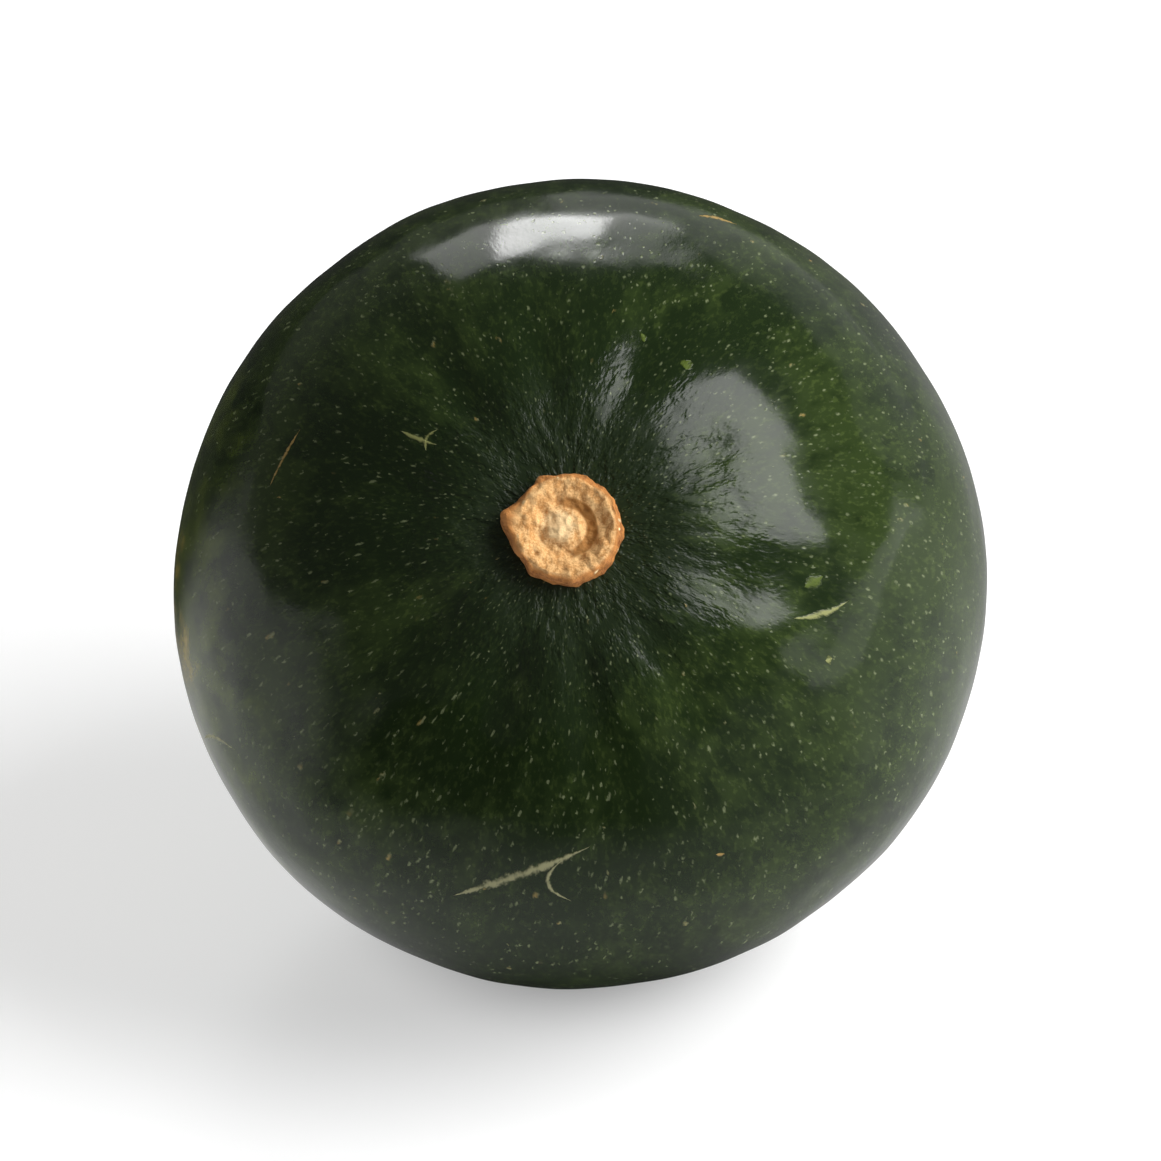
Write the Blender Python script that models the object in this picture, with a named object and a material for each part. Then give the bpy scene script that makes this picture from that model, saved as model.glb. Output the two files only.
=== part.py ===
"""A gem squash lying on a table: one ribbed round fruit and the dried stub of its stem.

Metres, +Z up, with the table at z = 0. Each piece is shaped in the fruit's own frame, where +Z runs from the
middle of the fruit out through the stem, and an empty then lays the fruit down on its small flat spot.
"""

import math

import bmesh
import bpy
from mathutils import Matrix, Vector, noise

# Size of the fruit
EQUATOR_RADIUS = 0.0375
STEM_HALF_HEIGHT = 0.0356
BLOSSOM_HALF_HEIGHT = 0.0347
FULLNESS = 2.06  # 2 is an ellipse, and more makes fuller shoulders

# Ribs: shallow grooves run from the stem to the blossom end
RIBS = 10
FIRST_GROOVE = math.radians(27)
RIBS_SHIFT = math.radians(7.2)  # how far grooves shift, so that ribs differ in width
WIDEST_RIB = math.radians(9)
GROOVE_SHARPNESS = 1.6
GROOVE_AT_STEM = 0.00062
GROOVE_AT_EQUATOR = 0.00012
GROOVE_AT_BLOSSOM = 0.00050
GROOVE_DEEPEST = 0.36  # share of the equator radius at which a groove is deepest
GROOVE_FADED = 0.82  # and past which it stays faint
GROOVE_STARTS = 0.15  # share of the equator radius inside which there are no grooves

# A fruit is never quite round: each swell's size, and the side it is fullest on
OVAL = 0.00013
OVAL_SIDE = math.radians(32)
THREE_SIDED = 0.00013
THREE_SIDED_SIDE = math.radians(-13)
LEAN = 0.00030
LEAN_SIDE = math.radians(-29)

# Hollow round the stem, with a flat seat in the middle
SEAT_RADIUS = 0.0060
HOLLOW_RADIUS = 0.0150
HOLLOW_DEPTH = 0.0012

# Scar that the flower left at the other end
DIMPLE_RADIUS = 0.0085
DIMPLE_DEPTH = 0.0007
NUB_RADIUS = 0.0024
NUB_HEIGHT = 0.0006

# Stub of the stem
STUB_RADIUS = 0.00495
STUB_HEIGHT = 0.0019
STUB_RIDGES = 9
FLAP_SIDE = math.radians(174)  # the side on which a flap of skin sticks out
FLAP_WIDTH = math.radians(15)
FLAP_REACH = 0.0009
RIDGE_DEPTH = 0.00016
KNOB_DEPTH = 0.00030
KNOB_SIZE = 0.0016
TORN_HEIGHT = 0.00036
TEAR_SIZE = 0.0013
TORN_FROM = 0.4  # share of the stub's height at which its torn top begins
TORN_FULLY = 0.6
SUNK_SIDE = math.radians(35)  # the side of the break that tore deeper
SUNK_SHARE = 0.5  # of the torn height
PITH_RADIUS = 0.4  # share of the stub's radius
ROOT_RADIUS = 0.0042
ROOT_DEPTH = 0.0032
CLEARANCE = 0.0003
CUTTER_ABOVE_SEAT = 0.004
MERGE_DISTANCE = 0.00001

# How the fruit lies
STEM_ELEVATION = math.radians(43.2)  # of the stem above the table
STEM_TURN = math.radians(-2.6)  # of the stem away from -Y
FLAT_DEPTH = 0.0007  # taken off the lowest point, where it rests

# Mesh density
MERIDIANS = 100
PARALLELS = 46
CROWD_TO_POLES = 0.17
STUB_STEPS = 54
SOCKET_SIDES = 48
SMOOTH_ANGLE = math.radians(35)

PART_NAME = "gem_squash"


def smooth_step(low, high, value):
    """0 below low, 1 above high, and an S-curve between them."""
    share = min(1.0, max(0.0, (value - low) / (high - low)))
    return share * share * (3 - 2 * share)


def body_radius(across, along):
    """Distance from the middle to the plain body, in the direction that has these two parts."""
    half_height = STEM_HALF_HEIGHT if along > 0 else BLOSSOM_HALF_HEIGHT
    total = (across / EQUATOR_RADIUS) ** FULLNESS + (abs(along) / half_height) ** FULLNESS
    return total ** (-1 / FULLNESS)


def groove_depth(across, along, around):
    """How far a rib's groove sinks: deepest on the two shoulders, faint at the equator, none at the poles."""
    at_end = GROOVE_AT_STEM if along > 0 else GROOVE_AT_BLOSSOM
    begins = smooth_step(GROOVE_STARTS, GROOVE_DEEPEST, across)
    fades = smooth_step(GROOVE_DEEPEST, GROOVE_FADED, across)
    deepest = begins * (at_end + (GROOVE_AT_EQUATOR - at_end) * fades)
    shift = RIBS_SHIFT * math.sin(2 * (around - WIDEST_RIB))
    wave = 0.5 + 0.5 * math.cos(RIBS * (around - FIRST_GROOVE - shift))
    return deepest * wave**GROOVE_SHARPNESS


def unevenness(across, along, around):
    """The slow swell that makes one side of the fruit a little fuller than the other."""
    oval = OVAL * math.cos(2 * (around - OVAL_SIDE))
    three_sided = THREE_SIDED * math.cos(3 * (around - THREE_SIDED_SIDE))
    lean = LEAN * along * math.cos(around - LEAN_SIDE)
    return across**2 * (oval + three_sided) + across * lean


def rind_point(direction):
    """The point of the rind in a direction from the fruit's middle."""
    across = math.hypot(direction.x, direction.y)
    around = math.atan2(direction.y, direction.x)
    along = direction.z
    radius = body_radius(across, along)
    radius += unevenness(across, along, around) - groove_depth(across, along, around)
    point = direction * radius
    from_axis = math.hypot(point.x, point.y)
    if along > 0:
        outside = smooth_step(SEAT_RADIUS, HOLLOW_RADIUS, from_axis)
        seat = seat_height()
        point.z = seat + (point.z - seat) * outside if from_axis < HOLLOW_RADIUS else point.z
    else:
        point.z += DIMPLE_DEPTH * (1 - smooth_step(0.0, DIMPLE_RADIUS, from_axis))
        point.z -= NUB_HEIGHT * (1 - smooth_step(0.0, NUB_RADIUS, from_axis))
    return point


def seat_height():
    """Height of the flat seat that the stem stands on, above the fruit's middle."""
    return STEM_HALF_HEIGHT - HOLLOW_DEPTH


def crowded(direction):
    """Turns a direction towards the nearer pole, so that the rings lie closer together there."""
    polar = math.acos(max(-1.0, min(1.0, direction.z)))
    around = math.atan2(direction.y, direction.x)
    polar -= CROWD_TO_POLES * math.sin(2 * polar)
    return Vector((math.sin(polar) * math.cos(around), math.sin(polar) * math.sin(around), math.cos(polar)))


def lying_turn():
    """The rotation that lays the stem down towards -Y."""
    lean = Matrix.Rotation(math.pi / 2 - STEM_ELEVATION, 4, "X")
    return Matrix.Rotation(STEM_TURN, 4, "Z") @ lean


def finish_material(name, colour, roughness):
    material = bpy.data.materials.new(name)
    material.use_nodes = True
    shader = material.node_tree.nodes["Principled BSDF"]
    shader.inputs["Base Color"].default_value = (*colour, 1)
    shader.inputs["Roughness"].default_value = roughness
    shader.inputs["Metallic"].default_value = 0
    return material


def new_object(name, mesh, material, collection):
    mesh.shade_smooth()
    mesh.set_sharp_from_angle(angle=SMOOTH_ANGLE)
    mesh.materials.append(material)
    made = bpy.data.objects.new(name, mesh)
    collection.objects.link(made)
    return made


def make_fruit(collection):
    """The whole fruit, from a ball whose points move out to the rind, with the resting spot cut flat."""
    form = bmesh.new()
    bmesh.ops.create_uvsphere(form, u_segments=MERIDIANS, v_segments=PARALLELS, radius=1)
    for vertex in form.verts:
        vertex.co = rind_point(crowded(vertex.co.normalized()))
    up = lying_turn().inverted().to_3x3() @ Vector((0, 0, 1))
    lowest = min(vertex.co.dot(up) for vertex in form.verts)
    everything = form.verts[:] + form.edges[:] + form.faces[:]
    cut = bmesh.ops.bisect_plane(
        form, geom=everything, plane_co=up * (lowest + FLAT_DEPTH), plane_no=up, clear_inner=True
    )
    rim = [item for item in cut["geom_cut"] if isinstance(item, bmesh.types.BMEdge)]
    bmesh.ops.contextual_create(form, geom=rim)
    bmesh.ops.recalc_face_normals(form, faces=form.faces)
    mesh = bpy.data.meshes.new("fruit")
    form.to_mesh(mesh)
    form.free()
    return new_object("fruit", mesh, finish_material("rind", (0.014, 0.026, 0.009), 0.32), collection)


def stub_profile():
    """Half outline of the stub, from the middle of its broken top out and down to the middle of its root."""
    top = STUB_HEIGHT
    foot = CLEARANCE
    return [
        (0.0, top * 0.84),
        (STUB_RADIUS * 0.16, top * 0.86),
        (STUB_RADIUS * 0.28, top * 0.76),
        (STUB_RADIUS * 0.38, top * 0.58),
        (STUB_RADIUS * 0.50, top * 0.56),
        (STUB_RADIUS * 0.62, top * 0.74),
        (STUB_RADIUS * 0.76, top * 0.92),
        (STUB_RADIUS * 0.87, top),
        (STUB_RADIUS * 0.95, top * 0.94),
        (STUB_RADIUS, top * 0.72),
        (STUB_RADIUS * 0.985, top * 0.45),
        (STUB_RADIUS * 1.02, foot + top * 0.08),
        (STUB_RADIUS * 1.00, foot),
        (ROOT_RADIUS, foot),
        (ROOT_RADIUS, -ROOT_DEPTH + CLEARANCE),
        (0.0, -ROOT_DEPTH),
    ]


def roughen_stub(point):
    """Gives the turned stub its ridges and knobs, and its top the uneven break of dry cork."""
    from_axis = math.hypot(point.x, point.y)
    around = math.atan2(point.y, point.x)
    outer = smooth_step(ROOT_RADIUS, STUB_RADIUS, from_axis)
    ridge = RIDGE_DEPTH * math.cos(STUB_RIDGES * around) + KNOB_DEPTH * noise.noise(point / KNOB_SIZE)
    turned = math.remainder(around - FLAP_SIDE, 2 * math.pi) / FLAP_WIDTH
    ridge += FLAP_REACH * math.exp(-turned * turned)
    spread = 1 + ridge / STUB_RADIUS * outer
    on_top = smooth_step(STUB_HEIGHT * TORN_FROM, STUB_HEIGHT * TORN_FULLY, point.z)
    off_the_pith = smooth_step(0.0, STUB_RADIUS * PITH_RADIUS, from_axis)
    sunk = SUNK_SHARE * math.cos(around - SUNK_SIDE) * off_the_pith
    lift = TORN_HEIGHT * on_top * (noise.noise(point / TEAR_SIZE) - sunk)
    return Vector((point.x * spread, point.y * spread, point.z + lift))


def make_stub(collection):
    """The corky end of the stem, turned about its axis and then roughened, standing on the fruit's seat."""
    form = bmesh.new()
    outline = [form.verts.new((across, 0, height)) for across, height in stub_profile()]
    edges = [form.edges.new(pair) for pair in zip(outline, outline[1:])]
    bmesh.ops.spin(
        form,
        geom=outline + edges,
        axis=(0, 0, 1),
        cent=(0, 0, 0),
        angle=2 * math.pi,
        steps=STUB_STEPS,
        use_merge=True,
    )
    bmesh.ops.remove_doubles(form, verts=form.verts, dist=MERGE_DISTANCE)
    for vertex in form.verts:
        vertex.co = roughen_stub(vertex.co) + Vector((0, 0, seat_height()))
    bmesh.ops.recalc_face_normals(form, faces=form.faces)
    mesh = bpy.data.meshes.new("stem_stub")
    form.to_mesh(mesh)
    form.free()
    return new_object("stem_stub", mesh, finish_material("cork", (0.60, 0.37, 0.16), 0.85), collection)


def cut_socket(fruit, collection):
    """The plain hole in the seat that the stub's root stands in."""
    bottom = seat_height() - ROOT_DEPTH - CLEARANCE
    top = seat_height() + CUTTER_ABOVE_SEAT
    form = bmesh.new()
    bmesh.ops.create_cone(
        form,
        cap_ends=True,
        segments=SOCKET_SIDES,
        radius1=ROOT_RADIUS + CLEARANCE,
        radius2=ROOT_RADIUS + CLEARANCE,
        depth=top - bottom,
    )
    bmesh.ops.translate(form, vec=(0, 0, (bottom + top) / 2), verts=form.verts)
    mesh = bpy.data.meshes.new("socket")
    form.to_mesh(mesh)
    form.free()
    cutter = bpy.data.objects.new("socket", mesh)
    cutter.hide_render = True
    cutter.display_type = "WIRE"
    collection.objects.link(cutter)
    cut = fruit.modifiers.new("socket", "BOOLEAN")
    cut.operation = "DIFFERENCE"
    cut.object = cutter
    return cutter


def lay_down(pieces, fruit, collection):
    """Parents the pieces to an empty that lays them on the table, with the origin under their middle."""
    turn = lying_turn()
    turned = [turn @ vertex.co for vertex in fruit.data.vertices]
    lowest = [min(point[axis] for point in turned) for axis in range(3)]
    highest = [max(point[axis] for point in turned) for axis in range(3)]
    holder = bpy.data.objects.new("lying_pose", None)
    holder.location = (-(lowest[0] + highest[0]) / 2, -(lowest[1] + highest[1]) / 2, -lowest[2])
    holder.rotation_euler = turn.to_euler()
    collection.objects.link(holder)
    for piece in pieces:
        piece.parent = holder


def main():
    for leftover in list(bpy.data.objects):
        bpy.data.objects.remove(leftover, do_unlink=True)
    collection = bpy.data.collections.new(PART_NAME)
    cutters = bpy.data.collections.new("cutters")
    bpy.context.scene.collection.children.link(collection)
    bpy.context.scene.collection.children.link(cutters)
    fruit = make_fruit(collection)
    stub = make_stub(collection)
    socket = cut_socket(fruit, cutters)
    lay_down([fruit, stub, socket], fruit, collection)


main()
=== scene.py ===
"""The looks of a gem squash: its waxy, speckled rind and its corky stub, in soft light on a pale floor.

Metres, +Z up, in the frame of the solids. The rind and the stub are shaped in the fruit's own frame,
where +Z runs from the middle of the fruit out through the stem, and are then laid down where the solids lie.
"""

import math

import bmesh
import bpy
from mathutils import Matrix, Quaternion, Vector, noise


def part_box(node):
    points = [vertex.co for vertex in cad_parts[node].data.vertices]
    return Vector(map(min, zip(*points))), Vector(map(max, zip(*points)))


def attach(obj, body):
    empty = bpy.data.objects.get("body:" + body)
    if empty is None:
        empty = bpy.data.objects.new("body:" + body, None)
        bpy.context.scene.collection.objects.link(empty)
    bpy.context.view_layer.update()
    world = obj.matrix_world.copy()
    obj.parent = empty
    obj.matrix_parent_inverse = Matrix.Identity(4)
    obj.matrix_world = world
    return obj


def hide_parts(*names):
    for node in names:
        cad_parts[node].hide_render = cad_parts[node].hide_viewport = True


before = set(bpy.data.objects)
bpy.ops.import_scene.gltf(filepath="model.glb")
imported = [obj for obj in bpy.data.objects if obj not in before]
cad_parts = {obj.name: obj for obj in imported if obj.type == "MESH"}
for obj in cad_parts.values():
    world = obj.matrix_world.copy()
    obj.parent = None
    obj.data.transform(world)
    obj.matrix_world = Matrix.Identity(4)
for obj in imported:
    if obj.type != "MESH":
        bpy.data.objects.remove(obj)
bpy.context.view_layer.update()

MM = 0.001

# Form of the fruit, the same as the solid's
EQUATOR_RADIUS = 0.0375
STEM_HALF_HEIGHT = 0.0356
BLOSSOM_HALF_HEIGHT = 0.0347
FULLNESS = 2.06  # 2 is an ellipse, and more makes fuller shoulders
RIBS = 10
FIRST_GROOVE = math.radians(27)
RIBS_SHIFT = math.radians(7.2)  # how far grooves shift, so that ribs differ in width
WIDEST_RIB = math.radians(9)
GROOVE_SHARPNESS = 1.6
GROOVE_AT_STEM = 0.00062
GROOVE_AT_EQUATOR = 0.00012
GROOVE_AT_BLOSSOM = 0.00050
GROOVE_DEEPEST = 0.36  # share of the equator radius at which a groove is deepest
GROOVE_FADED = 0.82  # and past which it stays faint
GROOVE_STARTS = 0.15  # share of the equator radius inside which there are no grooves
OVAL = 0.00013
OVAL_SIDE = math.radians(32)
THREE_SIDED = 0.00013
THREE_SIDED_SIDE = math.radians(-13)
LEAN = 0.00030
LEAN_SIDE = math.radians(-29)
SEAT_RADIUS = 0.0060
HOLLOW_RADIUS = 0.0150
HOLLOW_DEPTH = 0.0012
DIMPLE_RADIUS = 0.0085
DIMPLE_DEPTH = 0.0007
NUB_RADIUS = 0.0024
NUB_HEIGHT = 0.0006

# Fine relief of the rind, which the solid leaves out
SWELL_SIZE = 0.008
SWELL_HEIGHT = 0.00021
SWELL_CALMED = 0.6  # share of the swells that is gone at the equator
SWELL_CALMS_FROM = 0.85  # share of the equator radius past which they begin to go
RIPPLE_SIZE = 0.0030
RIPPLE_HEIGHT = 0.000042
FOLD_TURNS = 4.6  # cycles of the folds' noise in a radian round the stem
FOLD_LENGTH = 0.006
FOLD_HEIGHT = 0.00017
FOLDS_FADE = 0.009  # from the stem's axis
FOLDS_END = 0.023
HALVES_BLEND = 0.1  # how softly what belongs to the stem's half ends at the equator

# Form of the stub, the same as the solid's, with its knobs finer
STUB_RADIUS = 0.00495
STUB_HEIGHT = 0.0019
STUB_RIDGES = 9
FLAP_SIDE = math.radians(174)  # the side on which a flap of skin sticks out
FLAP_WIDTH = math.radians(15)
FLAP_REACH = 0.0009
RIDGE_DEPTH = 0.00007
KNOB_SIZE = 0.0016
KNOB_DEPTH = 0.00030
GRIT_SIZE = 0.0007
GRIT_DEPTH = 0.00016
ROOT_RADIUS = 0.0042
TORN_FROM = 0.4  # share of the stub's height at which its torn top begins
TORN_FULLY = 0.6
TORN_HEIGHT = 0.00036
TEAR_SIZE = 0.0013
TORN_LOW_SIDE = math.radians(35)  # the side to which the torn top dips
TORN_LOW = 0.5  # how far it dips there, as a share of the torn height
TORN_PITH = 0.4  # share of the stub's radius inside which the dip fades out
CRUMB_SIZE = 0.0006
CRUMB_HEIGHT = 0.00022
STUB_SUNK = 0.0002  # its foot goes this far into the seat

# Zones of the stub's colour, as shares of its radius unless they say otherwise
CRATER_MIDDLE = 0.47
CRATER_SIDE = math.radians(15)
CRATER_HALF_WIDTH = 0.17
EDGE_FROM = 0.82
SIDE_FULL = 0.1  # share of the stub's height below which the side has its full brown and painted shade
SIDE_ENDS = 0.75
PITH_MIDDLE = Vector((-0.0008, 0.0001, STUB_HEIGHT))  # in metres
PITH_FULL = 0.10
PITH_ENDS = 0.60

# How the fruit lies
STEM_ELEVATION = math.radians(43.2)  # of the stem above the table
STEM_TURN = math.radians(-2.6)  # of the stem away from -Y
FLAT_DEPTH = 0.0007  # taken off the lowest point, where it rests

# Mesh density
MERIDIANS = 400
PARALLELS = 236
CROWD_TO_POLES = 0.17
STUB_STEPS = 180
STUB_CUTS = 5  # new points along each side of the stub's outline
MERGE_DISTANCE = 0.00001

# Zones of the rind's colour, with sizes in mm
GROWTH_STRETCH = 0.62  # share of the fruit's height over which the pattern is drawn out
LEAST_PINCH = 0.02
BAND_TURNS = 3.4  # cycles of the bands' noise in a radian round the stem
BAND_DRIFT = 1.5  # how much they change along the fruit
CLOUD_SIZE = 9.0
SHADE_FULL = 8.0  # reach of the dark star round the stem
SHADE_ENDS = 17.0
SHADE_RAYS = 5  # how far its rays stand out
OLIVE_BASE = 0.38
OLIVE_BANDS = 0.4
OLIVE_CLOUDS = 0.3
OLIVE_SHADED = 0.6
OLIVE_SIDES = 0.5
BLOSSOM_SCAR = 0.0056  # reach of the flower's scar, in metres
SCAR_RAGGED = 0.9
SCAR_LOBES = 1.1
# Ground patch, the pale side that lay on the soil: its middle is a direction from the fruit's
PATCH_WAY = Vector((-0.975, 0.11, -0.19)).normalized()
PATCH_REACH = 33.0
PATCH_RAGGED = 0.35
PATCH_LOBES = 6.0

# Colours of the rind
DEEP_GREEN = (0.0088, 0.0180, 0.0042)
FRESH_GREEN = (0.0225, 0.0385, 0.0084)
NET_GREEN = (0.056, 0.083, 0.019)
PATCH_OLIVE = (0.075, 0.105, 0.012)
PATCH_YELLOW = (0.50, 0.36, 0.06)
SMALL_SPECK = (0.185, 0.215, 0.110)
PALE_SPECK = (0.240, 0.250, 0.120)
TAN_SPECK = (0.36, 0.25, 0.08)
SCAR_BROWN = (0.13, 0.085, 0.030)
SCAR_TAN = (0.36, 0.27, 0.13)
TAN = (0.34, 0.330, 0.17)
YELLOW_GREEN = (0.30, 0.31, 0.11)
ORANGE_TAN = (0.42, 0.27, 0.08)
GREEN = (0.085, 0.125, 0.008)

# Colours of the cork
CORK_BROWN = (0.62, 0.305, 0.095)
CORK_TAN = (0.88, 0.545, 0.235)
PITH_CREAM = (0.94, 0.68, 0.36)
CRATER_BROWN = (0.38, 0.160, 0.030)
# The edge's orange-brown is carried down the side as painted shade, and its dark patches are painted shade
# along the edge and foot
EDGE_BROWN_AND_SHADE = (0.50, 0.185, 0.035)
EDGE_PAINTED_SHADE = (0.26, 0.085, 0.018)
KNOB_CREAM = (1.00, 0.84, 0.46)

# Studio
CAMERA_ELEVATION = math.radians(35)
CAMERA_DISTANCE = 1.2
FRUIT_SHARE = 0.70  # of the frame's width
SENSOR = 36.0
FLOOR_SIZE = 6.0
SHADE_WAY = (-0.45, -0.9, 0)  # the way in which the floor falls into shade
SURROUND_HEIGHT = 0.0005
CONTACT_MIDDLE = (0.0, -0.012, 0.0)  # middle of the painted dark under the fruit, as the rind mirrors it
LIGHT_DISTANCE = 1.1
ROOM_LIGHT = 0.13


def smooth_step(low, high, value):
    """0 below low, 1 above high, and an S-curve between them."""
    share = min(1.0, max(0.0, (value - low) / (high - low)))
    return share * share * (3 - 2 * share)


def body_radius(across, along):
    """Distance from the middle to the plain body, in the direction that has these two parts."""
    half_height = STEM_HALF_HEIGHT if along > 0 else BLOSSOM_HALF_HEIGHT
    total = (across / EQUATOR_RADIUS) ** FULLNESS + (abs(along) / half_height) ** FULLNESS
    return total ** (-1 / FULLNESS)


def groove_depth(across, along, around):
    """How far a rib's groove sinks: deepest on both shoulders, faint at the equator, none at the poles."""
    at_end = GROOVE_AT_STEM if along > 0 else GROOVE_AT_BLOSSOM
    begins = smooth_step(GROOVE_STARTS, GROOVE_DEEPEST, across)
    fades = smooth_step(GROOVE_DEEPEST, GROOVE_FADED, across)
    deepest = begins * (at_end + (GROOVE_AT_EQUATOR - at_end) * fades)
    shift = RIBS_SHIFT * math.sin(2 * (around - WIDEST_RIB))
    wave = 0.5 + 0.5 * math.cos(RIBS * (around - FIRST_GROOVE - shift))
    return deepest * wave**GROOVE_SHARPNESS


def unevenness(across, along, around):
    """The slow swell that makes one side of the fruit a little fuller than the other."""
    oval = OVAL * math.cos(2 * (around - OVAL_SIDE))
    three_sided = THREE_SIDED * math.cos(3 * (around - THREE_SIDED_SIDE))
    lean = LEAN * along * math.cos(around - LEAN_SIDE)
    return across**2 * (oval + three_sided) + across * lean


def fold_place(across, around):
    """Where the folds' pattern is read: it turns with the angle round the stem, and runs out slowly."""
    outwards = across * EQUATOR_RADIUS / FOLD_LENGTH
    return Vector((FOLD_TURNS * math.cos(around), FOLD_TURNS * math.sin(around), outwards))


def folded(across, along):
    """How much of the folds shows: all of it by the stem, and none past the shoulder."""
    near = 1 - smooth_step(FOLDS_FADE, FOLDS_END, across * EQUATOR_RADIUS)
    return near * smooth_step(-HALVES_BLEND, HALVES_BLEND, along)


def fine_relief(direction, across, around):
    """Soft swells and ripples all over, and folds that run out from the stem."""
    place = direction * EQUATOR_RADIUS
    calmed = SWELL_CALMED * smooth_step(SWELL_CALMS_FROM, 1.0, across)
    swell = SWELL_HEIGHT * (1 - calmed) * noise.noise(place / SWELL_SIZE)
    ripple = RIPPLE_HEIGHT * noise.noise(place / RIPPLE_SIZE)
    fold = FOLD_HEIGHT * folded(across, direction.z) * noise.noise(fold_place(across, around))
    return swell + ripple + fold


def rind_point(direction):
    """The point of the rind in a direction from the fruit's middle."""
    across = math.hypot(direction.x, direction.y)
    around = math.atan2(direction.y, direction.x)
    along = direction.z
    radius = body_radius(across, along)
    radius += unevenness(across, along, around) - groove_depth(across, along, around)
    radius += fine_relief(direction, across, around)
    point = direction * radius
    from_axis = math.hypot(point.x, point.y)
    if along > 0:
        outside = smooth_step(SEAT_RADIUS, HOLLOW_RADIUS, from_axis)
        seat = seat_height()
        point.z = seat + (point.z - seat) * outside if from_axis < HOLLOW_RADIUS else point.z
    else:
        point.z += DIMPLE_DEPTH * (1 - smooth_step(0.0, DIMPLE_RADIUS, from_axis))
        point.z -= NUB_HEIGHT * (1 - smooth_step(0.0, NUB_RADIUS, from_axis))
    return point


def seat_height():
    """Height of the flat seat that the stem stands on, above the fruit's middle."""
    return STEM_HALF_HEIGHT - HOLLOW_DEPTH


def direction_at(down, around):
    """The direction at an angle down from the stem and an angle round it, in radians."""
    across = math.sin(down)
    return Vector((across * math.cos(around), across * math.sin(around), math.cos(down)))


def on_rind(down, around):
    """The rind's point, in mm, at an angle down from the stem and an angle round it, in degrees."""
    return rind_point(direction_at(math.radians(down), math.radians(around))) / MM


def lying_turn():
    """The rotation that lays the stem down towards -Y."""
    lean = Matrix.Rotation(math.pi / 2 - STEM_ELEVATION, 4, "X")
    return Matrix.Rotation(STEM_TURN, 4, "Z") @ lean


def lying_pose(points):
    """The matrix that lays a fruit with these points where the solid fruit lies."""
    turn = lying_turn()
    turned = [turn @ point for point in points]
    low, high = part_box("fruit")
    shift = Vector((0, 0, -min(point.z for point in turned) - FLAT_DEPTH))
    for axis in (0, 1):
        values = [point[axis] for point in turned]
        shift[axis] = (low[axis] + high[axis]) / 2 - (min(values) + max(values)) / 2
    return Matrix.Translation(shift) @ turn


class Mark:
    """A scratch or scar on the rind: a bowed stroke through three points that tapers to its ends.

    Each point is an angle down from the stem and an angle round it, in degrees. The width is in mm.
    """

    REACH = 2.5  # how far from a stroke its fields are kept, in mm
    DEPTH_WEIGHT = 0.3  # how much of a point's depth counts as distance

    def __init__(self, start, bend, end, width, tint):
        start, bend, end = on_rind(*start), on_rind(*bend), on_rind(*end)
        self.middle = (start + end) / 2
        self.half_length = (end - start).length / 2
        self.half_width = width / 2
        self.tint = tint
        self.along = (end - start).normalized()
        self.up = self.middle.normalized()
        self.aside = self.up.cross(self.along).normalized()
        self.bow = (bend - self.middle).dot(self.aside)

    def fields(self, place):
        """Where a point lies: along the stroke from -1 to 1, off it in half widths, and how far in mm."""
        offset = place - self.middle
        along = offset.dot(self.along) / self.half_length
        off = offset.dot(self.aside) - self.bow * (1 - min(1.0, along * along))
        beyond = max(0.0, abs(along) - 1) * self.half_length
        far = Vector((off, beyond, offset.dot(self.up) * self.DEPTH_WEIGHT)).length
        return along, off / self.half_width, far


# Marks that lie close together are in different layers
MARK_LAYERS = {
    "mark": [
        Mark((61.8, -107.6), (54.6, -98.4), (48.3, -84.5), 1.05, TAN),
        Mark((36.3, -18.2), (40.6, -14.8), (44.4, -10.2), 0.55, YELLOW_GREEN),
        Mark((46.8, 158.0), (48.0, 164.2), (49.3, 170.0), 0.36, ORANGE_TAN),
        Mark((64.9, 72.0), (67.1, 69.3), (67.8, 66.2), 0.80, ORANGE_TAN),
        Mark((29.5, 149.4), (26.3, 148.9), (23.3, 147.4), 0.55, YELLOW_GREEN),
        Mark((30.4, 56.2), (31.2, 57.4), (32.2, 57.0), 1.15, GREEN),
    ],
    "second_mark": [
        Mark((50.0, -89.2), (55.0, -92.2), (58.6, -88.0), 0.45, TAN),
        Mark((36.7, -10.2), (38.1, -8.1), (39.3, -6.7), 1.30, GREEN),
        Mark((24.2, 151.3), (25.3, 148.1), (24.7, 142.8), 0.50, YELLOW_GREEN),
        Mark((31.9, 70.6), (32.6, 71.4), (33.1, 72.4), 0.60, GREEN),
        Mark((43.8, -23.4), (44.3, -22.9), (44.7, -22.3), 0.80, YELLOW_GREEN),
        Mark((55.6, -63.0), (56.0, -62.3), (56.3, -61.6), 0.45, ORANGE_TAN),
        # Guessed, on the sides that the photo doesn't show
        Mark((70.6, -149.6), (76.5, -153.7), (83.5, -154.9), 0.50, TAN),
        Mark((104.2, 40.2), (108.1, 46.3), (109.1, 52.3), 0.60, TAN),
        Mark((129.0, -59.5), (125.1, -65.7), (124.2, -73.8), 0.45, ORANGE_TAN),
    ],
}


class Wire:
    """An output of a shader node. Sums on it add Math nodes."""

    def __init__(self, finish, socket):
        self.finish = finish
        self.socket = socket

    def __add__(self, other):
        return self.finish.math("ADD", self, other)

    def __sub__(self, other):
        return self.finish.math("SUBTRACT", self, other)

    def __rsub__(self, other):
        return self.finish.math("SUBTRACT", other, self)

    def __mul__(self, other):
        return self.finish.math("MULTIPLY", self, other)

    def __truediv__(self, other):
        return self.finish.math("DIVIDE", self, other)

    __radd__ = __add__
    __rmul__ = __mul__


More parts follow.
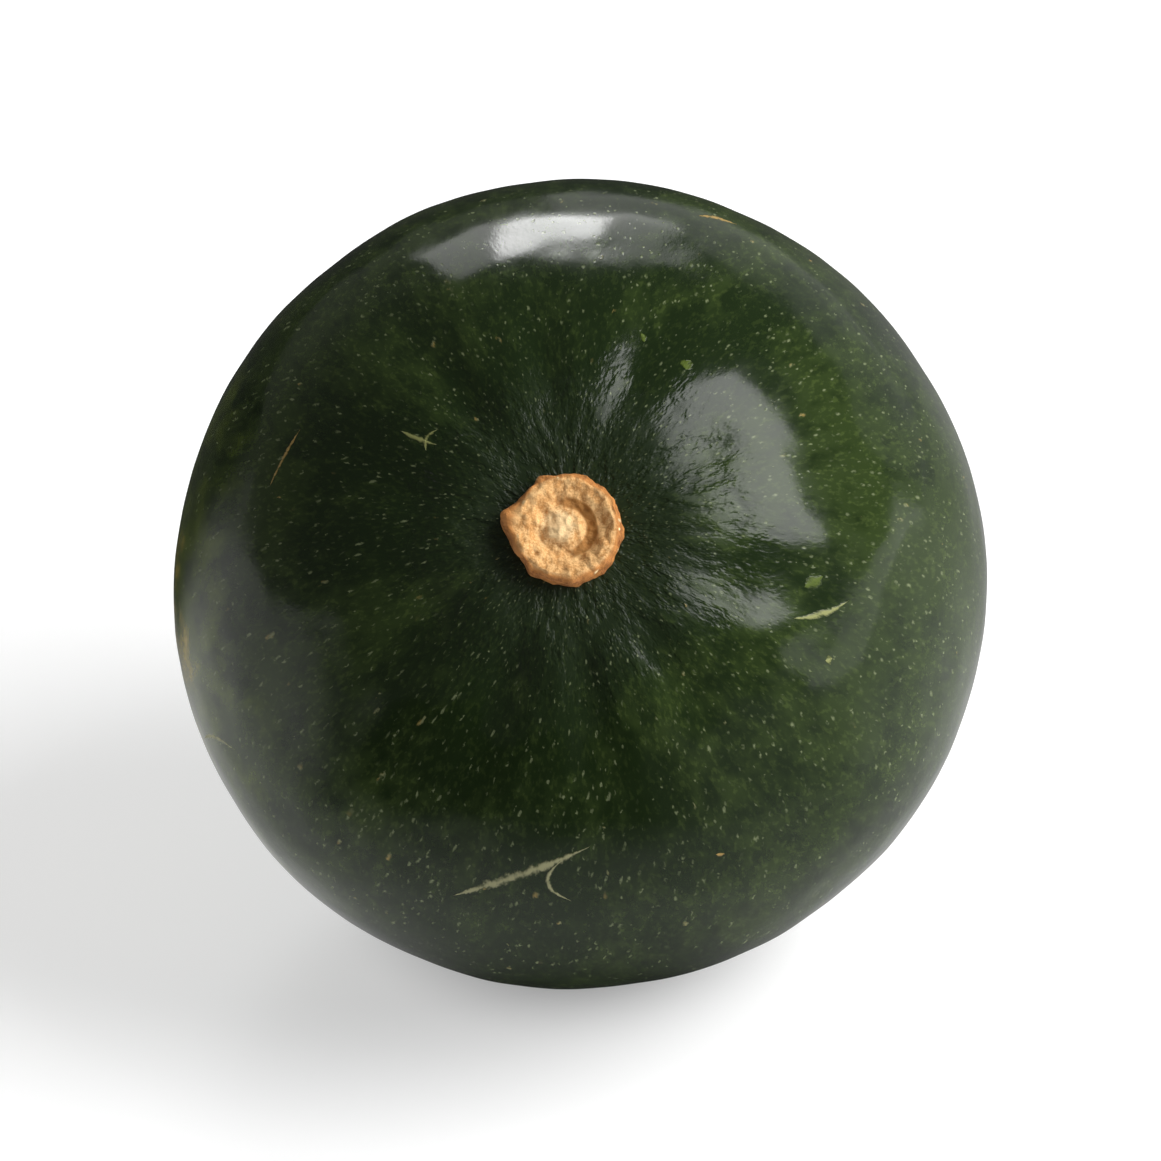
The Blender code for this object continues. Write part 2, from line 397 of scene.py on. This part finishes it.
class Finish:
    """A node tree being built, with short ways to add its nodes."""

    SMALLEST_DOT = 0.4  # share of the full radius
    FAINT_DRAW = 0.3  # share of the kept draws below which a dot has its full strength

    def __init__(self, tree):
        self.tree = tree

    def node(self, kind, settings=None, inputs=None, output=0):
        """Adds a node, sets it up, feeds its sockets, and returns one of its outputs."""
        made = self.tree.nodes.new(kind)
        for name, value in (settings or {}).items():
            setattr(made, name, value)
        for name, value in (inputs or {}).items():
            self.feed(value, made.inputs[name])
        return Wire(self, made.outputs[output])

    def feed(self, value, socket):
        """Links a wire to a socket, or sets the socket to a plain value."""
        if isinstance(value, Wire):
            self.tree.links.new(value.socket, socket)
        else:
            socket.default_value = value

    def math(self, operation, *values):
        """A Math node on wires and numbers."""
        return self.node("ShaderNodeMath", {"operation": operation}, dict(enumerate(values)))

    def vector_math(self, operation, inputs, output=0):
        """A Vector Math node. Where it gives a number, that is output 1."""
        return self.node("ShaderNodeVectorMath", {"operation": operation}, inputs, output)

    def split(self, vector):
        """The three parts of a vector."""
        parts = self.node("ShaderNodeSeparateXYZ", None, {0: vector}).socket.node.outputs
        return [Wire(self, part) for part in parts]

    def placed(self):
        """The place in the object's own metres."""
        return self.node("ShaderNodeTexCoord", output="Object")

    def attribute(self, name, output="Vector"):
        """What the mesh keeps under this name."""
        return self.node("ShaderNodeAttribute", {"attribute_name": name}, None, output)

    def fade(self, value, start, end):
        """0 at start and 1 at end, with an S-curve between them."""
        ends = {"Value": value, "From Min": start, "From Max": end}
        return self.node("ShaderNodeMapRange", {"interpolation_type": "SMOOTHSTEP"}, ends)

    def roughen(self, value, pattern, amount):
        """A value that a pattern from 0 to 1 pushes up and down over this range."""
        return value + (pattern - 0.5) * amount

    def mix(self, share, first, second):
        """A blend of two colours."""
        colours = {0: share, 6: opaque(first), 7: opaque(second)}
        return self.node("ShaderNodeMix", {"data_type": "RGBA"}, colours, output=2)

    def clouds(self, place, size, detail, roughness):
        """Soft noise from 0 to 1, with features of about this size."""
        inputs = {"Vector": place, "Scale": 1 / size, "Detail": detail, "Roughness": roughness}
        return self.node("ShaderNodeTexNoise", None, inputs)

    def dots(self, place, spacing, radius, share):
        """Round dots of mixed size and strength, one in a cell of this spacing. A share of them is kept."""
        cell = self.node("ShaderNodeTexVoronoi", None, {"Vector": place, "Scale": 1 / spacing})
        draw = self.split(Wire(self, cell.socket.node.outputs["Color"]))
        edge = (self.SMALLEST_DOT + (1 - self.SMALLEST_DOT) * draw[1]) * (radius / spacing)
        strength = self.fade(draw[0], share, share * self.FAINT_DRAW)
        return self.fade(cell / edge, 1.1, 0.2) * strength

    def relief(self, height, shader):
        """Raises the surface by a height in mm."""
        bump = {"Height": height, "Distance": MM, "Strength": 1.0}
        self.feed(self.node("ShaderNodeBump", None, bump), shader.inputs["Normal"])


def opaque(colour):
    """A colour with full alpha, or a wire as it is."""
    return colour if isinstance(colour, Wire) else (*colour, 1)


def grey(level):
    """A plain grey this bright."""
    return (level, level, level)


def new_finish(name):
    """A new material, its node tree to build on, and its shader."""
    material = bpy.data.materials.new(name)
    material.use_nodes = True
    return material, Finish(material.node_tree), material.node_tree.nodes["Principled BSDF"]


def rind_finish():
    """Waxy dark green rind: mottled, speckled, creased round the stem, scratched, with its ground patch."""
    material, finish, shader = new_finish("waxy_rind")
    grown = finish.attribute("grown")
    creased, olive, patch = finish.split(finish.attribute("zones"))

    # Green, in two depths, with a fine light net
    mottle = finish.clouds(grown, size=2.4, detail=3.0, roughness=0.6)
    fine = finish.clouds(grown, size=0.55, detail=2.0, roughness=0.6)
    light = finish.fade(finish.roughen(olive, mottle, 1.5), 0.25, 0.85)
    green = finish.mix(light, DEEP_GREEN, FRESH_GREEN)
    net = finish.fade(fine, 0.50, 0.70) * (0.35 + light * 0.65)
    green = finish.mix(net * 0.55, green, NET_GREEN)

    # Ground patch
    ragged = finish.roughen(patch, mottle, 0.9)
    green = finish.mix(finish.fade(ragged, 0.15, 0.62) * 0.9, green, PATCH_OLIVE)
    green = finish.mix(finish.fade(ragged, 0.55, 1.05), green, PATCH_YELLOW)

    # Pale specks, pushed about by the fine noise so that they aren't quite round
    swept = finish.vector_math("SCALE", {0: (0.9, 0.7, 1.1), "Scale": fine})
    pushed = finish.vector_math("ADD", {0: grown, 1: swept})
    small = finish.dots(pushed, spacing=0.70, radius=0.24, share=0.95)
    small = small * finish.fade(mottle, 0.30, 0.55)
    large = finish.dots(pushed, spacing=2.4, radius=0.42, share=0.40)
    green = finish.mix(small * 0.80, green, SMALL_SPECK)
    large_colour = finish.mix(finish.fade(fine, 0.45, 0.60), PALE_SPECK, TAN_SPECK)
    green = finish.mix(large * 0.70, green, large_colour)

    # Scar of the flower, scratches and other scars
    scars = finish.fade(finish.roughen(finish.attribute("blossom", "Fac"), fine, 0.5), 0.40, 0.60)
    scar_colour = finish.mix(finish.fade(fine, 0.35, 0.65), SCAR_BROWN, SCAR_TAN)
    colour = finish.mix(scars * 0.9, green, scar_colour)
    for layer in MARK_LAYERS:
        along, off, near = finish.split(finish.attribute(layer))
        taper = finish.math("MAXIMUM", 1 - along * along, 0.001)
        off = finish.math("ABSOLUTE", off) / taper
        broken = finish.fade(finish.roughen(finish.roughen(off, fine, 2.6), mottle, 1.2), 1.2, 0.0)
        stroke = broken * near
        colour = finish.mix(stroke * 0.85, colour, finish.attribute(layer + "_tint", "Color"))
        scars = stroke + scars
    finish.feed(colour, shader.inputs["Base Color"])

    # Gloss: waxy on the sides, duller where it is creased
    finish.feed(0.10 + creased * creased * 0.32 + mottle * 0.10 + scars * 0.30, shader.inputs["Roughness"])

    # Relief too fine for the mesh
    folds = finish.clouds(finish.attribute("folds"), size=0.55, detail=1.0, roughness=0.4)
    folds = folds * finish.fade(mottle, 0.35, 0.60)
    height = folds * creased * 0.20 + fine * (0.009 + creased * 0.010) - small * 0.008
    finish.relief(height + large * 0.010 + scars * 0.030, shader)
    shader.inputs["IOR"].default_value = 1.36
    return material


def cork_finish():
    """Dry tan cork with a pale pith, a dark crater and an orange-brown edge with pale knobs, with painted
    shade darkening the edge and the side down to the foot.
    """
    material, finish, shader = new_finish("dry_cork")
    placed = finish.placed()
    crater, edge, pith = finish.split(finish.attribute("zones"))
    grain = finish.clouds(placed, size=0.8 * MM, detail=4.0, roughness=0.65)
    fibres = finish.clouds(placed, size=0.20 * MM, detail=2.0, roughness=0.7)

    colour = finish.mix(finish.fade(grain * 0.7 + fibres * 0.3, 0.38, 0.62), CORK_BROWN, CORK_TAN)
    pale = finish.fade(finish.roughen(pith, fibres, 1.2), 0.30, 0.85)
    colour = finish.mix(pale * 0.8, colour, PITH_CREAM)
    dark = finish.fade(finish.roughen(crater, grain, 0.9), 0.25, 0.70)
    colour = finish.mix(dark * 0.9, colour, CRATER_BROWN)
    # Orange-brown edge, darkened down the side to the foot with painted shade, and dark patches of painted
    # shade along it
    brown = finish.fade(finish.roughen(edge, grain, 1.4), 0.30, 0.80)
    colour = finish.mix(brown * 0.85, colour, EDGE_BROWN_AND_SHADE)
    colour = finish.mix(finish.fade(edge * grain, 0.42, 0.60) * 0.7, colour, EDGE_PAINTED_SHADE)
    in_mm = finish.vector_math("SCALE", {0: placed, "Scale": 1 / MM})
    knobs = finish.dots(in_mm, spacing=1.1, radius=0.36, share=0.60)
    colour = finish.mix(knobs * finish.fade(edge, 0.10, 0.40), colour, KNOB_CREAM)
    finish.feed(colour, shader.inputs["Base Color"])

    shader.inputs["Roughness"].default_value = 0.80
    finish.relief(fibres * 0.05 + grain * 0.16 + knobs * 0.05, shader)
    return material


def new_piece(name, form, material):
    """Makes a piece from a finished bmesh, shaded smooth."""
    bmesh.ops.recalc_face_normals(form, faces=form.faces)
    mesh = bpy.data.meshes.new(name)
    form.to_mesh(mesh)
    form.free()
    mesh.shade_smooth()
    mesh.materials.append(material)
    piece = bpy.data.objects.new(name, mesh)
    bpy.context.scene.collection.objects.link(piece)
    return piece


def shape_ball():
    """A grid rolled into a ball of radius 1, whose rings lie closer together near the poles."""
    form = bmesh.new()
    bmesh.ops.create_grid(form, x_segments=MERIDIANS, y_segments=PARALLELS, size=0.5)
    for vertex in form.verts:
        around = vertex.co.x * 2 * math.pi
        down = (0.5 - vertex.co.y) * math.pi
        vertex.co = direction_at(down - CROWD_TO_POLES * math.sin(2 * down), around)
    bmesh.ops.remove_doubles(form, verts=form.verts, dist=MERGE_DISTANCE)
    return form


def growth_place(direction, across):
    """Where the rind's pattern is read, in mm: drawn out along the ribs, as the fruit grew."""
    pinch = math.sqrt(max(across, LEAST_PINCH))
    outwards = Vector((direction.x / pinch, direction.y / pinch, direction.z * GROWTH_STRETCH))
    return outwards * (EQUATOR_RADIUS / MM)


def olive_share(direction, across, around, place):
    """How light the green is: in bands and clouds, lighter to the sides, with a dark star round the stem."""
    round_stem = (BAND_TURNS * math.cos(around), BAND_TURNS * math.sin(around))
    bands = noise.noise(Vector((*round_stem, direction.z * BAND_DRIFT)))
    clouds = noise.noise(place / CLOUD_SIZE)
    from_axis = across * EQUATOR_RADIUS / MM
    star = smooth_step(SHADE_ENDS, SHADE_FULL, from_axis + SHADE_RAYS * bands)
    shaded = star * smooth_step(0.0, HALVES_BLEND, direction.z)
    varied = OLIVE_BASE + OLIVE_BANDS * bands + OLIVE_CLOUDS * clouds
    return varied - OLIVE_SHADED * shaded + OLIVE_SIDES * direction.x**2


def blossom_share(direction, across, place):
    """How much of the flower's scar is here: most in its middle, and none past its ragged edge."""
    ragged = 1 + SCAR_RAGGED * noise.noise(place / SCAR_LOBES)
    scar = 1 - smooth_step(0.0, BLOSSOM_SCAR, across * EQUATOR_RADIUS)
    return scar * ragged * (direction.z < 0)


def patch_share(place, middle):
    """How much of the ground patch is here: 1 in its middle, and 0 at its ragged edge."""
    ragged = PATCH_RAGGED * noise.noise(place / PATCH_LOBES)
    return 1 - (place - middle).length / PATCH_REACH + ragged


def shape_rind():
    """The whole rind, with what its finish needs to know kept on its points."""
    form = shape_ball()
    layers = form.verts.layers
    grown = layers.float_vector.new("grown")
    zones = layers.float_vector.new("zones")
    folds = layers.float_vector.new("folds")
    blossom = layers.float.new("blossom")
    marks = {name: layers.float_vector.new(name) for name in MARK_LAYERS}
    tints = {name: layers.float_color.new(name + "_tint") for name in MARK_LAYERS}
    patch_middle = lying_turn().to_3x3().inverted() @ PATCH_WAY * (EQUATOR_RADIUS / MM)
    for vertex in form.verts:
        direction = vertex.co.normalized()
        across = math.hypot(direction.x, direction.y)
        around = math.atan2(direction.y, direction.x)
        vertex.co = rind_point(direction)
        place = vertex.co / MM
        vertex[grown] = growth_place(direction, across)
        vertex[folds] = fold_place(across, around)
        vertex[blossom] = blossom_share(direction, across, place)
        olive = olive_share(direction, across, around, place)
        vertex[zones] = (folded(across, direction.z), olive, patch_share(place, patch_middle))
        for name, strokes in MARK_LAYERS.items():
            fields = [(*stroke.fields(place), stroke.tint) for stroke in strokes]
            along, off, far, tint = min(fields, key=lambda field: field[2])
            vertex[marks[name]] = (along, off, 1 - smooth_step(Mark.REACH / 2, Mark.REACH, far))
            vertex[tints[name]] = (*tint, 1)
    return form


def lay_rind(form, pose):
    """Lays the rind down, and flattens it where it rests."""
    for vertex in form.verts:
        vertex.co = pose @ vertex.co
        vertex.co.z = max(0.0, vertex.co.z)


def stub_profile():
    """Half outline of the stub, from the middle of its broken top out and down to that of its foot."""
    top = STUB_HEIGHT
    return [
        (0.0, top * 0.84),
        (STUB_RADIUS * 0.16, top * 0.86),
        (STUB_RADIUS * 0.28, top * 0.76),
        (STUB_RADIUS * 0.38, top * 0.58),
        (STUB_RADIUS * 0.50, top * 0.56),
        (STUB_RADIUS * 0.62, top * 0.74),
        (STUB_RADIUS * 0.76, top * 0.92),
        (STUB_RADIUS * 0.87, top),
        (STUB_RADIUS * 0.95, top * 0.94),
        (STUB_RADIUS, top * 0.72),
        (STUB_RADIUS * 0.985, top * 0.45),
        (STUB_RADIUS * 1.02, top * 0.08),
        (STUB_RADIUS * 1.00, -STUB_SUNK),
        (0.0, -STUB_SUNK),
    ]


def roughen_stub(point):
    """Gives the turned stub its ridges and knobs, and its top the uneven break of dry cork."""
    from_axis = math.hypot(point.x, point.y)
    around = math.atan2(point.y, point.x)
    outer = smooth_step(ROOT_RADIUS, STUB_RADIUS, from_axis)
    ridge = RIDGE_DEPTH * math.cos(STUB_RIDGES * around) + KNOB_DEPTH * noise.noise(point / KNOB_SIZE)
    ridge += GRIT_DEPTH * noise.noise(point / GRIT_SIZE)
    turned = math.remainder(around - FLAP_SIDE, 2 * math.pi) / FLAP_WIDTH
    ridge += FLAP_REACH * math.exp(-turned * turned)
    spread = 1 + ridge / STUB_RADIUS * outer
    on_top = smooth_step(STUB_HEIGHT * TORN_FROM, STUB_HEIGHT * TORN_FULLY, point.z)
    off_the_pith = smooth_step(0.0, STUB_RADIUS * TORN_PITH, from_axis)
    sunk = TORN_LOW * math.cos(around - TORN_LOW_SIDE) * off_the_pith
    lift = TORN_HEIGHT * on_top * (noise.noise(point / TEAR_SIZE) - sunk)
    lift += CRUMB_HEIGHT * on_top * noise.noise(point / CRUMB_SIZE)
    return Vector((point.x * spread, point.y * spread, point.z + lift))


def stub_zones(point):
    """How much of the crater, of the edge (with painted shade down the side to the foot) and of the pith is
    at a point of the smooth stub.
    """
    across = math.hypot(point.x, point.y) / STUB_RADIUS
    around = math.atan2(point.y, point.x)
    crater = 1 - smooth_step(0.02, CRATER_HALF_WIDTH, abs(across - CRATER_MIDDLE))
    crater *= smooth_step(-0.5, 0.6, math.cos(around - CRATER_SIDE))
    # Painted shade: the side darkens down to the foot, where the stub meets the rind
    side = 1 - smooth_step(SIDE_FULL, SIDE_ENDS, point.z / STUB_HEIGHT)
    edge = max(side, smooth_step(EDGE_FROM, 1.00, across))
    from_pith = (point - PITH_MIDDLE).length / STUB_RADIUS
    return crater, edge, 1 - smooth_step(PITH_FULL, PITH_ENDS, from_pith)


def shape_stub(pose):
    """The corky end of the stem, turned about its axis and then roughened, on the fruit's seat."""
    form = bmesh.new()
    outline = [form.verts.new((across, 0, height)) for across, height in stub_profile()]
    for pair in zip(outline, outline[1:]):
        form.edges.new(pair)
    bmesh.ops.subdivide_edges(form, edges=form.edges[:], cuts=STUB_CUTS)
    bmesh.ops.spin(
        form,
        geom=form.verts[:] + form.edges[:],
        axis=(0, 0, 1),
        cent=(0, 0, 0),
        angle=2 * math.pi,
        steps=STUB_STEPS,
        use_merge=True,
    )
    bmesh.ops.remove_doubles(form, verts=form.verts, dist=MERGE_DISTANCE)
    zones = form.verts.layers.float_vector.new("zones")
    for vertex in form.verts:
        vertex[zones] = stub_zones(vertex.co)
        vertex.co = pose @ (roughen_stub(vertex.co) + Vector((0, 0, seat_height())))
    return form


def make_squash():
    """The rind and the stub, each standing for its solid."""
    form = shape_rind()
    pose = lying_pose([vertex.co for vertex in form.verts])
    lay_rind(form, pose)
    rind = new_piece("rind", form, rind_finish())
    stub = new_piece("stub", shape_stub(pose), cork_finish())
    for piece, node, slot in ((rind, "fruit", "rind"), (stub, "stem_stub", "cork")):
        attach(piece, "root")
        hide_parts(node)


def new_board(name, height, material):
    """A large flat sheet at this height."""
    form = bmesh.new()
    bmesh.ops.create_grid(form, x_segments=1, y_segments=1, size=FLOOR_SIZE / 2)
    bmesh.ops.translate(form, vec=(0, 0, height), verts=form.verts)
    return new_piece(name, form, material)


def make_floor():
    """A large white table top that falls into painted soft shade in front and to the left, and gives off its
    own light, which fades into a painted shadow under the fruit.
    """
    material, finish, shader = new_finish("white_table")
    placed = finish.placed()
    far = finish.vector_math("DOT_PRODUCT", {0: placed, 1: SHADE_WAY}, 1)
    colour = finish.mix(finish.fade(far, 0.06, 0.40), grey(0.60), grey(0.40))
    finish.feed(colour, shader.inputs["Base Color"])
    # Painted shadow: the floor's own light fades out under the fruit
    away = finish.vector_math("LENGTH", {0: placed}, 1)
    light_with_painted_shadow = finish.mix(finish.fade(away, 0.002, 0.024), grey(0.03), colour)
    finish.feed(light_with_painted_shadow, shader.inputs["Emission Color"])
    shader.inputs["Emission Strength"].default_value = 0.90
    shader.inputs["Specular IOR Level"].default_value = 0.0
    floor = new_board("floor", 0.0, material)


def make_surround():
    """A sheet just above the floor, seen only in the rind's reflections, that gives off painted reflections:
    a dark studio past the near part of the floor, lighter to both sides, and the dark under the fruit.
    """
    material, finish, shader = new_finish("painted_reflection_surround")
    placed = finish.placed()
    far = finish.vector_math("LENGTH", {0: placed}, 1)
    across, ahead, _ = finish.split(placed)
    # Painted reflection of a dark studio, lighter to both sides
    lit = finish.fade(finish.math("ABSOLUTE", ahead / far), 0.65, 0.25)
    dark = finish.mix(finish.fade(across / far, 0.1, 0.7), grey(0.01), grey(0.40))
    studio = finish.mix(lit, dark, grey(0.85))
    # Painted reflection of the shade under the fruit
    away = finish.vector_math("DISTANCE", {0: placed, 1: CONTACT_MIDDLE}, 1)
    painted_contact_dark = finish.mix(finish.fade(away, 0.008, 0.035), grey(0.02), grey(0.55))
    mirrored = finish.mix(finish.fade(away, 0.045, 0.085), painted_contact_dark, studio)
    finish.feed(mirrored, shader.inputs["Emission Color"])
    shader.inputs["Base Color"].default_value = opaque(grey(0.02))
    shader.inputs["Emission Strength"].default_value = 1.0
    shader.inputs["Specular IOR Level"].default_value = 0.0
    surround = new_board("surround", SURROUND_HEIGHT, material)
    surround.visible_camera = False
    surround.visible_diffuse = False
    surround.visible_shadow = False


def make_softbox(name, way, width, height, radiance, roll=0.0, mirrored=True):
    """A rectangular light that faces the fruit from a direction, this bright against white paper."""
    light = bpy.data.lights.new(name, "AREA")
    light.shape = "RECTANGLE"
    light.size = width
    light.size_y = height
    light.energy = radiance * math.pi * width * height
    lamp = bpy.data.objects.new(name, light)
    way = Vector(way).normalized()
    lamp.location = way * LIGHT_DISTANCE + fruit_middle()
    turn = way.to_track_quat("Z", "Y") @ Quaternion((0, 0, 1), math.radians(roll))
    lamp.rotation_euler = turn.to_euler()
    lamp.visible_camera = False
    lamp.visible_glossy = mirrored
    bpy.context.scene.collection.objects.link(lamp)


def make_lights():
    """Soft lights, each placed where the rind shows its highlight. Ways are from the fruit's middle."""
    # Bright core of the highlight at the top, and the glow round it
    make_softbox("rear_softbox", way=(-0.05, 0.87, 0.49), width=0.27, height=0.30, radiance=10.0)
    make_softbox("rear_glow", way=(-0.07, 0.86, 0.46), width=0.74, height=0.46, radiance=1.8)
    # Main light, which makes the broad highlight right of the stem, and its fill, which isn't mirrored
    main_way, fill_way = (0.706, -0.157, 0.690), (0.764, -0.06, 0.643)
    make_softbox("right_softbox", main_way, width=0.50, height=0.98, radiance=6.6, roll=-33)
    make_softbox("right_fill", fill_way, width=0.90, height=0.90, radiance=3.2, mirrored=False)
    # Haze along the upper right edge, and the thin sheen on the right side
    make_softbox("back_card", way=(0.50, 0.84, 0.20), width=1.50, height=0.50, radiance=0.40)
    make_softbox("side_strip", way=(0.98, -0.08, 0.06), width=1.10, height=0.20, radiance=1.7)


def fruit_middle():
    """The middle of the fruit's box."""
    low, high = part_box("fruit")
    return (low + high) / 2


def make_world():
    """A dim, even room."""
    world = bpy.data.worlds.new("room")
    world.use_nodes = True
    bpy.context.scene.world = world
    background = world.node_tree.nodes["Background"]
    background.inputs["Color"].default_value = opaque(grey(1))
    background.inputs["Strength"].default_value = ROOM_LIGHT


def make_camera():
    """Looks down at the fruit as the photo does, from nearer."""
    lens = bpy.data.cameras.new("camera")
    lens.sensor_width = SENSOR
    lens.lens = SENSOR * CAMERA_DISTANCE * FRUIT_SHARE / (2 * EQUATOR_RADIUS)
    camera = bpy.data.objects.new("camera", lens)
    back = Vector((0, -math.cos(CAMERA_ELEVATION), math.sin(CAMERA_ELEVATION)))
    camera.location = fruit_middle() + back * CAMERA_DISTANCE
    camera.rotation_euler = back.to_track_quat("Z", "Y").to_euler()
    bpy.context.scene.collection.objects.link(camera)
    bpy.context.scene.camera = camera


make_camera()
make_squash()
make_floor()
make_surround()
make_lights()
make_world()
bpy.context.scene.view_settings.view_transform = "Standard"
